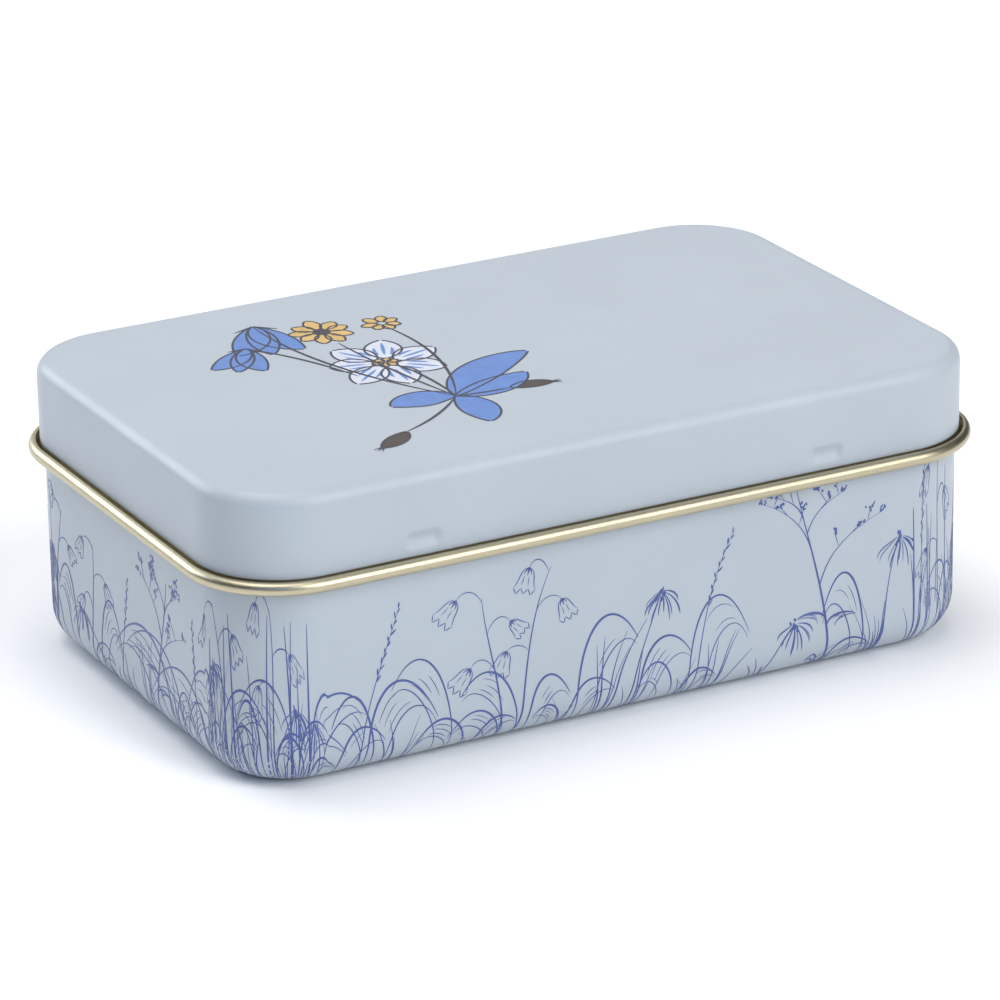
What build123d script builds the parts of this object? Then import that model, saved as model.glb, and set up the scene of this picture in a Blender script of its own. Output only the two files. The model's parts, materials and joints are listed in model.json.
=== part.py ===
"""Hinged tinplate keepsake tin: drawn body, drawn lid and the wire they hinge on.

Millimetres, +Z up. The origin is the middle of the base, the length runs along X,
the front faces -Y and the hinge is along the top of the rear wall, at +Y.
"""
from build123d import *
import os
from math import acos, degrees, radians, sin

# Driving dimensions, over the outside of the lid's walls
LENGTH = 110.0
WIDTH = 70.0
HEIGHT = 40.0
CORNER_R = 12.0
SHEET = 0.25

# Lid
LID_EDGE_R = 2.0
HINGE_Z = 28.0
LID_CURL_R = 0.90
LID_CURL_SWEEP = 275.0

# Body
BODY_INSET = 0.60
BASE_EDGE_R = 5.5
NECK_START_Z = 27.3
NECK_STEP = 0.75
NECK_BEND_R = 0.75
RIM_Z = 36.2
RIM_CURL_R = 0.60
RIM_CURL_SWEEP = 285.0

# Raised panel in the base, which leaves a flat land to stand on
PANEL_LAND = 3.4
PANEL_RISE = 0.40

# Two dimples pressed into the front of the lid, which snap it shut
DIMPLE_X = 29.2
DIMPLE_Z = 31.1
DIMPLE_WIDTH = 6.0
DIMPLE_HEIGHT = 3.0
DIMPLE_DEPTH = 0.5

# Hinge
WIRE_R = 0.60
WIRE_LENGTH = 76.0
KNUCKLE_X = 24.0
KNUCKLE_WIDTH = 8.0
KNUCKLE_FIT = 0.02
KNUCKLE_WRAP = 255.0
TONGUE_BEND_R = 0.45
LANCE_GAP = 0.30
NOTCH_GAP = 0.40
NOTCH_RISE = 1.5

# Worked out from those
HALF_SHEET = SHEET / 2
CENTRE_X = LENGTH / 2 - CORNER_R
CENTRE_Y = WIDTH / 2 - CORNER_R
PANEL_LAP = 1.0
LID_MID_R = CORNER_R - HALF_SHEET
CURL_MID_R = LID_CURL_R - HALF_SHEET
HINGE_R = LID_MID_R + CURL_MID_R
HINGE_Y = CENTRE_Y + HINGE_R
BODY_MID_R = CORNER_R - BODY_INSET - HALF_SHEET
NECK_MID_R = BODY_MID_R - NECK_STEP
TONGUE_MID_R = WIRE_R + KNUCKLE_FIT + HALF_SHEET
TONGUE_ROOT_Z = HINGE_Z - TONGUE_MID_R - TONGUE_BEND_R
# Every upright outline shares the same four corner centres, so a section is drawn
# once, with its distance from a corner centre across and its height up.


def straight_run(section: Sketch, length: float, angle: float, centre: tuple) -> Part:
    """One straight wall: the section drawn out sideways, turned to its side."""
    run = extrude(section, amount=length / 2, both=True)
    return Pos(*centre) * Rot(0, 0, angle) * run


def corner_run(section: Sketch, angle: float, centre: tuple) -> Part:
    """One drawn corner: the section turned a quarter turn about its centre."""
    quarter = revolve(section, Axis.Z, revolution_arc=90)
    return Pos(*centre) * Rot(0, 0, angle) * quarter


def wall_ring(section: Sketch) -> Part:
    """The section carried all the way round the tin."""
    ring = straight_run(section, 2 * CENTRE_Y, 0, (CENTRE_X, 0, 0))
    ring += straight_run(section, 2 * CENTRE_X, 90, (0, CENTRE_Y, 0))
    ring += straight_run(section, 2 * CENTRE_Y, 180, (-CENTRE_X, 0, 0))
    ring += straight_run(section, 2 * CENTRE_X, 270, (0, -CENTRE_Y, 0))
    ring += corner_run(section, 0, (CENTRE_X, CENTRE_Y, 0))
    ring += corner_run(section, 90, (-CENTRE_X, CENTRE_Y, 0))
    ring += corner_run(section, 180, (-CENTRE_X, -CENTRE_Y, 0))
    ring += corner_run(section, 270, (CENTRE_X, -CENTRE_Y, 0))
    return ring


def flat_plate(radius: float, bottom: float, thickness: float) -> Part:
    """A flat plate whose corners have the given radius about the corner centres."""
    outline = RectangleRounded(2 * (CENTRE_X + radius), 2 * (CENTRE_Y + radius), radius)
    return Pos(0, 0, bottom) * extrude(outline, amount=thickness)


def upright_sheet(centreline: Curve) -> Sketch:
    """The sheet's section along a centreline that is drawn flat, stood upright."""
    return Rot(90, 0, 0) * trace(centreline, line_width=SHEET)


def lid_section() -> Sketch:
    """Lid wall: panel edge, top bend, skirt, and the bottom edge curled outwards."""
    bend_r = LID_EDGE_R - HALF_SHEET
    bend_x = LID_MID_R - bend_r
    bend_z = HEIGHT - LID_EDGE_R
    top_z = HEIGHT - HALF_SHEET
    line = Line((bend_x - PANEL_LAP, top_z), (bend_x, top_z))
    line += CenterArc((bend_x, bend_z), bend_r, 90, -90)
    line += Line((LID_MID_R, bend_z), (LID_MID_R, HINGE_Z))
    line += CenterArc((HINGE_R, HINGE_Z), CURL_MID_R, 180, LID_CURL_SWEEP)
    return upright_sheet(line)


def body_section() -> Sketch:
    """Body wall: base edge, base bend, wall, neck, and the rim curled inwards."""
    bend_r = BASE_EDGE_R - HALF_SHEET
    bend_x = BODY_MID_R - bend_r
    turn = degrees(acos(1 - NECK_STEP / (2 * NECK_BEND_R)))
    neck_top = NECK_START_Z + 2 * NECK_BEND_R * sin(radians(turn))
    curl_r = RIM_CURL_R - HALF_SHEET
    curl_z = RIM_Z - RIM_CURL_R
    line = Line((bend_x - PANEL_LAP, HALF_SHEET), (bend_x, HALF_SHEET))
    line += CenterArc((bend_x, BASE_EDGE_R), bend_r, 270, 90)
    line += Line((BODY_MID_R, BASE_EDGE_R), (BODY_MID_R, NECK_START_Z))
    line += CenterArc((BODY_MID_R - NECK_BEND_R, NECK_START_Z), NECK_BEND_R, 0, turn)
    line += CenterArc((NECK_MID_R + NECK_BEND_R, neck_top), NECK_BEND_R, 180 + turn, -turn)
    line += Line((NECK_MID_R, neck_top), (NECK_MID_R, curl_z))
    line += CenterArc((NECK_MID_R - curl_r, curl_z), curl_r, 0, RIM_CURL_SWEEP)
    return upright_sheet(line)


def lozenge(radius: float) -> Part:
    """A round-ended rod along X, whose side presses one dimple."""
    half = (DIMPLE_WIDTH - DIMPLE_HEIGHT) / 2
    outline = Line((-half - radius, 0), (half + radius, 0))
    outline += CenterArc((half, 0), radius, 0, 90)
    outline += Line((half, radius), (-half, radius))
    outline += CenterArc((-half, 0), radius, 90, 90)
    return revolve(make_face(outline), Axis.X)


def pressed_dimple(lid: Part, x: float) -> Part:
    """The lid with one dimple pressed inwards through its front skirt."""
    half_height = DIMPLE_HEIGHT / 2
    press_r = (half_height**2 + DIMPLE_DEPTH**2) / (2 * DIMPLE_DEPTH)
    outside = -WIDTH / 2
    press = Pos(x, outside - press_r + DIMPLE_DEPTH, DIMPLE_Z)
    reach = 2 * DIMPLE_DEPTH + SHEET
    inner_half = Pos(x, outside + HALF_SHEET + reach / 2, DIMPLE_Z) * Box(
        2 * DIMPLE_WIDTH, reach, 2 * DIMPLE_HEIGHT
    )
    lid += (press * lozenge(press_r + SHEET)) & inner_half
    lid -= press * lozenge(press_r)
    return lid


def hinge_notch(x: float) -> Part:
    """The space cut from the lid's rear skirt and curl round one knuckle."""
    width = KNUCKLE_WIDTH + 2 * NOTCH_GAP
    bottom = HINGE_Z - 2 * LID_CURL_R
    top = HINGE_Z + NOTCH_RISE
    depth = 6 * LID_CURL_R
    return Pos(x, HINGE_Y, (bottom + top) / 2) * Box(width, depth, top - bottom)


def lid_shell() -> Part:
    """The one-piece drawn lid."""
    panel_r = LID_MID_R - LID_EDGE_R + HALF_SHEET - PANEL_LAP
    lid = wall_ring(lid_section())
    lid += flat_plate(panel_r, HEIGHT - SHEET, SHEET)
    for x in (-DIMPLE_X, DIMPLE_X):
        lid = pressed_dimple(lid, x)
    for x in (-KNUCKLE_X, KNUCKLE_X):
        lid -= hinge_notch(x)
    return lid


def base_plate() -> Part:
    """The flat of the base, with its middle pressed up into a shallow panel."""
    plate_r = BODY_MID_R - BASE_EDGE_R + HALF_SHEET - PANEL_LAP
    panel_r = plate_r + PANEL_LAP - PANEL_LAND
    plate = flat_plate(plate_r, 0, SHEET)
    plate += flat_plate(panel_r + SHEET, 0, PANEL_RISE + SHEET)
    plate -= flat_plate(panel_r, 0, PANEL_RISE)
    return plate


def tongue_section() -> Sketch:
    """A hinge tongue: out of the wall, under the wire and round it."""
    under_z = TONGUE_ROOT_Z + TONGUE_BEND_R
    bend_x = BODY_MID_R + TONGUE_BEND_R
    line = CenterArc((bend_x, TONGUE_ROOT_Z), TONGUE_BEND_R, 180, -90)
    line += Line((bend_x, under_z), (HINGE_R, under_z))
    line += CenterArc((HINGE_R, HINGE_Z), TONGUE_MID_R, 270, KNUCKLE_WRAP)
    return upright_sheet(line)


def lance_window(x: float) -> Part:
    """The opening that one tongue leaves in the rear wall when it is bent out."""
    wrap = TONGUE_MID_R * radians(KNUCKLE_WRAP)
    under = HINGE_R - BODY_MID_R - TONGUE_BEND_R
    height = TONGUE_BEND_R * radians(90) + under + wrap
    width = KNUCKLE_WIDTH + 2 * LANCE_GAP
    depth = 2 * (NECK_STEP + SHEET)
    middle = CENTRE_Y + (BODY_MID_R + NECK_MID_R) / 2
    return Pos(x, middle, TONGUE_ROOT_Z + height / 2) * Box(width, depth, height)


def body_shell() -> Part:
    """The one-piece drawn body, with the two hinge tongues cut from its rear wall."""
    body = wall_ring(body_section())
    body += base_plate()
    tongue = tongue_section()
    for x in (-KNUCKLE_X, KNUCKLE_X):
        body -= lance_window(x)
        body += straight_run(tongue, KNUCKLE_WIDTH, 90, (x, CENTRE_Y, 0))
    return body


def hinge_wire() -> Part:
    """The straight wire inside the lid's rear curl and the two knuckles."""
    return Pos(0, HINGE_Y, HINGE_Z) * Rot(0, 90, 0) * Cylinder(WIRE_R, WIRE_LENGTH)


def main() -> None:
    """Build every piece and write one file for each."""
    os.makedirs("parts", exist_ok=True)
    pieces = {
        "body_shell": body_shell(),
        "lid_shell": lid_shell(),
        "hinge_wire": hinge_wire(),
    }
    for name, piece in pieces.items():
        piece.label = name
        export_step(piece, f"parts/{name}.step")
        print(name, "solids", len(piece.solids()), "volume", round(piece.volume, 1))


main()
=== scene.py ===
"""Looks of a hinged tinplate keepsake tin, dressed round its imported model.

The drawn body and the drawn lid are rebuilt as bent sheet, enamelled outside and
gold-lacquered inside. A line-drawn meadow is printed round the body's wall, and a
sprig of wild flowers on the lid. All sizes are in metres.
"""

import json
import logging
import math
import random
from dataclasses import dataclass, field
from enum import Enum
from typing import Callable, Iterable, Sequence

import bmesh
import bpy
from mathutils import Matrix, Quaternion, Vector
from mathutils.geometry import interpolate_bezier


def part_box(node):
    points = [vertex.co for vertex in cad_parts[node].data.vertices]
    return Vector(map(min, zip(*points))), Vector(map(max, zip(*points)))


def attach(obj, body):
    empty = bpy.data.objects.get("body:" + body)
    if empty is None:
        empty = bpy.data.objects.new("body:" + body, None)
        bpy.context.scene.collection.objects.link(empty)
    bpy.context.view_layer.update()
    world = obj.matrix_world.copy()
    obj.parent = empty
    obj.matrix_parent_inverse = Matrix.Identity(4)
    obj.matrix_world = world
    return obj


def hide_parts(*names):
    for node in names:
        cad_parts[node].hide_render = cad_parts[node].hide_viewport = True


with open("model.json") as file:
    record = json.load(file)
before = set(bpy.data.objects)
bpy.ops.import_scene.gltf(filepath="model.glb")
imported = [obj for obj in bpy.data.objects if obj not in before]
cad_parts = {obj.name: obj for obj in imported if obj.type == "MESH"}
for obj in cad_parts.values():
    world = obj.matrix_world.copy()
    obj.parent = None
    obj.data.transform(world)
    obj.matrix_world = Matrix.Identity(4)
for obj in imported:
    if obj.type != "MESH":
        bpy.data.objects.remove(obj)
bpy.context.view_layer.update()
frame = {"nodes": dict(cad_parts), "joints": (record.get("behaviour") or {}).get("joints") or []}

MM = 0.001
LOG = logging.getLogger("tin")
SMOOTH_LIMIT = math.radians(40)
CURL_STAND = 1.55 * MM  # how far the lid's curl stands out from its wall


# ---------------------------------------------------------------- bent sheet paths


@dataclass(frozen=True)
class Straight:
    """A straight run of a path.

    Args:
        length: How long the run is.
    """

    length: float


@dataclass(frozen=True)
class Bend:
    """A round bend of a path.

    Args:
        radius: Radius of the path's own line.
        turn: Angle turned in degrees, to the left when positive.
    """

    radius: float
    turn: float

    @property
    def length(self) -> float:
        """Length of the bend along its line."""
        return self.radius * math.radians(abs(self.turn))


class BendLine:
    """A flat path of straight runs and tangent bends, followed from its start."""

    def __init__(self, start: Vector, heading: float, runs: Sequence[Straight | Bend]) -> None:
        """Lays the runs end to end.

        Args:
            start: Where the path begins.
            heading: The direction that it sets out in, in degrees.
            runs: Its straights and bends in order.
        """
        self.legs: list[tuple[float, Vector, float, Straight | Bend]] = []
        self.length = 0.0
        point = start.copy()
        angle = math.radians(heading)
        for run in runs:
            self.legs.append((self.length, point, angle, run))
            point, angle = self._along(point, angle, run, run.length)
            self.length += run.length

    @staticmethod
    def _along(point: Vector, angle: float, run: Straight | Bend, gone: float) -> tuple[Vector, float]:
        """Place and heading after going some way along one run.

        Args:
            point: Where the run begins.
            angle: Its first heading, in radians.
            run: The run itself.
            gone: How far to go along it.

        Returns:
            The point reached and the heading there.
        """
        if isinstance(run, Straight):
            return point + Vector((math.cos(angle), math.sin(angle))) * gone, angle
        side = math.copysign(1.0, run.turn)
        centre = point + Vector((-math.sin(angle), math.cos(angle))) * run.radius * side
        angle += side * gone / run.radius
        return centre + Vector((math.sin(angle), -math.cos(angle))) * run.radius * side, angle

    def at(self, distance: float, lift: float = 0.0) -> Vector:
        """The point some distance along the path.

        Args:
            distance: How far along, clamped to the path.
            lift: How far to stand off to the right of the path.

        Returns:
            The point in the path's plane.
        """
        distance = min(max(distance, 0.0), self.length)
        leg = max((leg for leg in self.legs if leg[0] <= distance), key=lambda leg: leg[0])
        point, angle = self._along(leg[1], leg[2], leg[3], distance - leg[0])
        return point + Vector((math.sin(angle), -math.cos(angle))) * lift

    def stops(self, straight_step: float, bend_step: float) -> list[Vector]:
        """Points along the path, close together in its bends.

        Args:
            straight_step: Longest step on a straight run.
            bend_step: Largest angle between steps in a bend, in degrees.

        Returns:
            The points from start to end.
        """
        points = [self.at(0.0)]
        for start, _, _, run in self.legs:
            if isinstance(run, Straight):
                steps = math.ceil(run.length / straight_step - 1e-6)
            else:
                steps = math.ceil(abs(run.turn) / bend_step - 1e-6)
            points += [self.at(start + run.length * i / steps) for i in range(1, steps + 1)]
        return points


# ---------------------------------------------------------------- the tin's shape


@dataclass(frozen=True)
class TinShape:
    """Sizes that the drawn pieces share.

    Args:
        half_length: From the middle to the lid's end wall, outside.
        half_width: From the middle to the lid's long wall, outside.
        height: Overall height with the lid shut.
        hinge: Place of the hinge line across the tin, as y and z.
        corner_radius: Radius of the lid's upright corners, outside.
        sheet: Thickness of the tinplate.
    """

    half_length: float
    half_width: float
    height: float
    hinge: Vector
    corner_radius: float = 12.0 * MM
    sheet: float = 0.25 * MM

    @property
    def centre(self) -> Vector:
        """Distance of the corner centres from the middle, along and across."""
        return Vector((self.half_length - self.corner_radius, self.half_width - self.corner_radius))

    def stand(self, vert: bmesh.types.BMVert, radius: float, height: float) -> None:
        """Moves a point of an outline out to a radius about its corner centre.

        Args:
            vert: The point, which keeps its direction from the corner centre.
            radius: Its new distance from that centre, or from the straight between two.
            height: Its new height.
        """
        reach = self.centre
        near = Vector((min(max(vert.co.x, -reach.x), reach.x), min(max(vert.co.y, -reach.y), reach.y)))
        out = (vert.co.xy - near).normalized()
        vert.co = (*(near + out * radius), height)


def grow_row(bm: bmesh.types.BMesh, edges: Sequence[bmesh.types.BMEdge]) -> list[bmesh.types.BMEdge]:
    """Grows one row of faces from some edges, in the same order on every run.

    Args:
        bm: The mesh.
        edges: The edges that the row grows from.

    Returns:
        The row's far edges, which still lie where it grew from.
    """
    twins = {v: bm.verts.new(v.co) for v in dict.fromkeys(v for e in edges for v in e.verts)}
    far = []
    for edge in edges:
        first, last = edge.verts
        bm.faces.new((first, last, twins[last], twins[first]))
        far.append(bm.edges.get((twins[first], twins[last])))
    return far


class SheetBuilder:
    """Grows one drawn sheet from a rounded outline, as a single skin."""

    def __init__(self, shape: TinShape, corner_steps: int, stations: Iterable[float]) -> None:
        """Makes the closed outline that the skin grows from.

        Args:
            shape: The tin's shared sizes.
            corner_steps: Number of facets in each upright corner.
            stations: Places along the length where the long sides get an extra column.
        """
        self.shape = shape
        self.bm = bmesh.new()
        grown = bmesh.ops.create_grid(self.bm, x_segments=1, y_segments=1, size=1.0)
        bmesh.ops.scale(
            self.bm, vec=(shape.half_length, shape.half_width, 1.0), verts=grown["verts"]
        )
        bmesh.ops.bevel(
            self.bm,
            geom=self.bm.verts[:],
            offset=shape.corner_radius,
            offset_type="OFFSET",
            segments=corner_steps,
            profile=0.5,
            affect="VERTICES",
            material=-1,
        )
        bmesh.ops.delete(self.bm, geom=self.bm.faces[:], context="FACES_ONLY")
        for x in stations:
            bmesh.ops.bisect_plane(
                self.bm,
                geom=self.bm.verts[:] + self.bm.edges[:],
                plane_co=(x, 0.0, 0.0),
                plane_no=(1.0, 0.0, 0.0),
            )
        self.edge = self.bm.edges[:]

    def start_at(self, point: Vector) -> None:
        """Moves the outline to the first point of a section.

        Args:
            point: Radius and height.
        """
        for vert in {v for e in self.edge for v in e.verts}:
            self.shape.stand(vert, point.x, point.y)

    def follow(self, points: Iterable[Vector]) -> None:
        """Grows the skin through each point of a section in turn.

        Args:
            points: Radius and height of each new row.
        """
        for point in points:
            self.edge = grow_row(self.bm, self.edge)
            for vert in {v for e in self.edge for v in e.verts}:
                self.shape.stand(vert, point.x, point.y)

    def close(self, edges: Sequence[bmesh.types.BMEdge]) -> None:
        """Fills a flat outline with one face.

        Args:
            edges: The closed outline.
        """
        bmesh.ops.contextual_create(self.bm, geom=list(edges))

    def slice(self, height: float, inside: Callable[[Vector], bool]) -> None:
        """Cuts a level line across part of the skin.

        Args:
            height: Height of the line.
            inside: Says whether a face's middle is in that part.
        """
        faces = [f for f in self.bm.faces if inside(f.calc_center_median())]
        rest = dict.fromkeys(part for f in faces for part in (*f.edges, *f.verts))
        bmesh.ops.bisect_plane(
            self.bm, geom=[*faces, *rest], plane_co=(0.0, 0.0, height), plane_no=(0.0, 0.0, 1.0)
        )

    def cut_away(self, inside: Callable[[Vector], bool]) -> None:
        """Removes the faces whose middle lies in a region.

        Args:
            inside: Says whether a point is in the region.
        """
        gone = [f for f in self.bm.faces if inside(f.calc_center_median())]
        bmesh.ops.delete(self.bm, geom=gone, context="FACES")

    def face_out(self, up: bool) -> None:
        """Turns every face to the enamelled side of the sheet.

        Args:
            up: True when the flat panel's enamelled side faces up, as on the lid.
        """
        bmesh.ops.recalc_face_normals(self.bm, faces=self.bm.faces[:])
        panel = max(self.bm.faces, key=lambda f: f.calc_area())
        if (panel.normal.z > 0) != up:
            bmesh.ops.reverse_faces(self.bm, faces=self.bm.faces[:])

    def thicken(self, name: str, materials: Sequence[bpy.types.Material]) -> bpy.types.Object:
        """Gives the skin its thickness and makes it an object.

        Args:
            name: The piece's name.
            materials: The outer finish, then the inner one.

        Returns:
            The finished piece.
        """
        piece = mesh_object(name, self.bm, materials)
        solid = piece.modifiers.new("sheet", "SOLIDIFY")
        solid.thickness = self.shape.sheet
        solid.offset = 0.0
        solid.use_even_offset = True
        solid.material_offset = 1
        solid.material_offset_rim = 1
        settle(piece)
        return piece


def mesh_object(
    name: str, bm: bmesh.types.BMesh, materials: Sequence[bpy.types.Material]
) -> bpy.types.Object:
    """Turns a bmesh into a linked object and frees it.

    Args:
        name: The object's name.
        bm: The mesh, in the tin's frame.
        materials: Its materials in slot order.

    Returns:
        The new object.
    """
    mesh = bpy.data.meshes.new(name)
    bm.to_mesh(mesh)
    bm.free()
    for material in materials:
        mesh.materials.append(material)
    piece = bpy.data.objects.new(name, mesh)
    bpy.context.scene.collection.objects.link(piece)
    return piece


def settle(piece: bpy.types.Object) -> None:
    """Applies a piece's modifiers and shades it smooth up to its sharp edges.

    Args:
        piece: The object.
    """
    seen = piece.evaluated_get(bpy.context.evaluated_depsgraph_get())
    mesh = bpy.data.meshes.new_from_object(seen)
    piece.modifiers.clear()
    old = piece.data
    piece.data = mesh
    bpy.data.meshes.remove(old)
    mesh.name = piece.name
    mesh.shade_smooth()
    mesh.set_sharp_from_angle(angle=SMOOTH_LIMIT)


# ---------------------------------------------------------------- finishes


class Recipe:
    """A small helper that wires up one material's nodes."""

    def __init__(self, name: str) -> None:
        """Starts a material with an empty Principled surface.

        Args:
            name: The material's name.
        """
        self.material = bpy.data.materials.new(name)
        self.material.use_nodes = True
        self.nodes = self.material.node_tree.nodes
        self.links = self.material.node_tree.links
        self.surface = self.nodes["Principled BSDF"]

    def set(self, **values: float | tuple) -> None:
        """Sets constants on the surface.

        Args:
            values: Socket names, with underscores for spaces, and their values.
        """
        for name, value in values.items():
            self.surface.inputs[name.replace("_", " ")].default_value = value

    def noise(
        self, scale: float, stretch: tuple = (1.0, 1.0, 1.0), detail: float = 3.0
    ) -> bpy.types.NodeSocket:
        """Adds a noise pattern on the piece's own coordinates.

        Args:
            scale: Pattern repeats per metre.
            stretch: How much denser it is along each axis.
            detail: Number of finer layers.

        Returns:
            The pattern's value.
        """
        place = self.nodes.new("ShaderNodeTexCoord")
        mapping = self.nodes.new("ShaderNodeMapping")
        mapping.inputs["Scale"].default_value = stretch
        pattern = self.nodes.new("ShaderNodeTexNoise")
        pattern.inputs["Scale"].default_value = scale
        pattern.inputs["Detail"].default_value = detail
        self.links.new(place.outputs["Object"], mapping.inputs["Vector"])
        self.links.new(mapping.outputs["Vector"], pattern.inputs["Vector"])
        return pattern.outputs["Fac"]

    def colour_between(self, value: bpy.types.NodeSocket, low: tuple, high: tuple) -> None:
        """Drives the base colour from a pattern.

        Args:
            value: The pattern.
            low: Colour where it is low.
            high: Colour where it is high.
        """
        ramp = self.nodes.new("ShaderNodeValToRGB")
        ramp.color_ramp.elements[0].position = 0.35
        ramp.color_ramp.elements[0].color = (*low, 1.0)
        ramp.color_ramp.elements[1].position = 0.65
        ramp.color_ramp.elements[1].color = (*high, 1.0)
        self.links.new(value, ramp.inputs["Fac"])
        self.links.new(ramp.outputs["Color"], self.surface.inputs["Base Color"])

    def roughness_between(self, value: bpy.types.NodeSocket, low: float, high: float) -> None:
        """Drives the roughness from a pattern.

        Args:
            value: The pattern.
            low: Roughness where it is low.
            high: Roughness where it is high.
        """
        spread = self.nodes.new("ShaderNodeMapRange")
        spread.inputs["From Min"].default_value = 0.35
        spread.inputs["From Max"].default_value = 0.65
        spread.inputs["To Min"].default_value = low
        spread.inputs["To Max"].default_value = high
        self.links.new(value, spread.inputs["Value"])
        self.links.new(spread.outputs["Result"], self.surface.inputs["Roughness"])

    def relief(self, value: bpy.types.NodeSocket, depth: float, strength: float) -> None:
        """Raises and lowers the surface slightly with a pattern.

        Args:
            value: The pattern.
            depth: Height from its lowest to its highest.
            strength: Share of that height that is felt.
        """
        bump = self.nodes.new("ShaderNodeBump")
        bump.inputs["Distance"].default_value = depth
        bump.inputs["Strength"].default_value = strength
        self.links.new(value, bump.inputs["Height"])
        self.links.new(bump.outputs["Normal"], self.surface.inputs["Normal"])


def shaded(colour: tuple, factor: float) -> tuple:
    """A lighter or darker version of a colour.

    Args:
        colour: Linear red, green and blue.
        factor: What each is multiplied by.

    Returns:
        The new colour.
    """
    return tuple(min(channel * factor, 1.0) for channel in colour)


@dataclass(frozen=True)
class Enamel:
    """Satin stoved enamel: an even coat with a faint orange peel."""

    name: str = "pale_blue_enamel"
    colour: tuple = (0.465, 0.515, 0.565)
    low_roughness: float = 0.36
    high_roughness: float = 0.42

    def material(self) -> bpy.types.Material:
        """Builds the material."""
        recipe = Recipe(self.name)
        recipe.set(IOR=1.45)
        recipe.colour_between(recipe.noise(60.0), shaded(self.colour, 0.985), shaded(self.colour, 1.015))
        recipe.roughness_between(recipe.noise(220.0), self.low_roughness, self.high_roughness)
        recipe.relief(recipe.noise(1400.0, detail=2.0), 0.004 * MM, 0.25)
        return recipe.material


@dataclass(frozen=True)
class GoldLacquer:
    """Clear gold lacquer over bright tinplate, with the sheet's rolling grain."""

    name: str = "gold_lacquer"
    colour: tuple = (0.55, 0.495, 0.35)
    low_roughness: float = 0.35
    high_roughness: float = 0.41

    def material(self) -> bpy.types.Material:
        """Builds the material."""
        recipe = Recipe(self.name)
        recipe.set(Metallic=1.0, Coat_Weight=0.15, Coat_Roughness=0.4)
        grain = (1.0, 14.0, 40.0)
        recipe.colour_between(recipe.noise(70.0, grain), shaded(self.colour, 0.96), shaded(self.colour, 1.03))
        recipe.roughness_between(recipe.noise(90.0, grain), self.low_roughness, self.high_roughness)
        recipe.relief(recipe.noise(80.0, grain, 4.0), 0.003 * MM, 0.2)
        return recipe.material


@dataclass(frozen=True)
class PrintedInk:
    """Offset-printed ink under a satin varnish, a little uneven in strength."""

    name: str
    colour: tuple
    unevenness: float = 0.12

    def material(self) -> bpy.types.Material:
        """Builds the material."""
        recipe = Recipe(self.name)
        recipe.set(IOR=1.5, Coat_Weight=0.15, Coat_Roughness=0.3)
        low = shaded(self.colour, 1.0 - self.unevenness)
        high = shaded(self.colour, 1.0 + self.unevenness)
        recipe.colour_between(recipe.noise(450.0), low, high)
        recipe.roughness_between(recipe.noise(220.0), 0.36, 0.44)
        return recipe.material


@dataclass(frozen=True)
class DrawnSteel:
    """Bright drawn wire, with die lines along its length."""

    name: str = "drawn_steel"
    colour: tuple = (0.56, 0.56, 0.57)

    def material(self) -> bpy.types.Material:
        """Builds the material."""
        recipe = Recipe(self.name)
        recipe.set(Metallic=1.0)
        lines = (1.0, 60.0, 60.0)
        recipe.colour_between(recipe.noise(60.0, lines), shaded(self.colour, 0.85), shaded(self.colour, 1.05))
        recipe.roughness_between(recipe.noise(80.0, lines), 0.22, 0.4)
        return recipe.material


# ---------------------------------------------------------------- drawn pieces


@dataclass
class Hinge:
    """The two curled knuckles and the notches that they turn in.

    Args:
        knuckles: Places of the knuckles along the tin.
        width: Width of each knuckle.
        lance_gap: Slit beside each tongue in the body's wall.
        notch_gap: Gap beside each knuckle in the lid.
        notch_rise: How far the lid's notch reaches above the hinge line.
        tongue_bend: Bend radius where a tongue leaves the wall, at mid sheet.
        knuckle_radius: Radius of the curl round the wire, at mid sheet.
        wrap: Angle that a knuckle wraps round the wire, in degrees.
    """

    knuckles: tuple = (-24.0 * MM, 24.0 * MM)
    width: float = 8.0 * MM
    lance_gap: float = 0.3 * MM
    notch_gap: float = 0.4 * MM
    notch_rise: float = 1.5 * MM
    tongue_bend: float = 0.45 * MM
    knuckle_radius: float = 0.745 * MM
    wrap: float = 255.0

    def edges(self, margin: float) -> list[float]:
        """Places along the tin of both sides of each knuckle, and a margin beyond.

        Args:
            margin: Distance beyond the knuckle's side.

        Returns:
            The places from left to right.
        """
        half = self.width / 2 + margin
        return [x + side * half for x in self.knuckles for side in (-1, 1)]

    def beside(self, x: float, margin: float) -> bool:
        """Says whether a place along the tin is within a knuckle and its margin.

        Args:
            x: The place.
            margin: Distance beyond the knuckle's side.

        Returns:
            True when it is.
        """
        return any(abs(x - knuckle) < self.width / 2 + margin for knuckle in self.knuckles)


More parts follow.
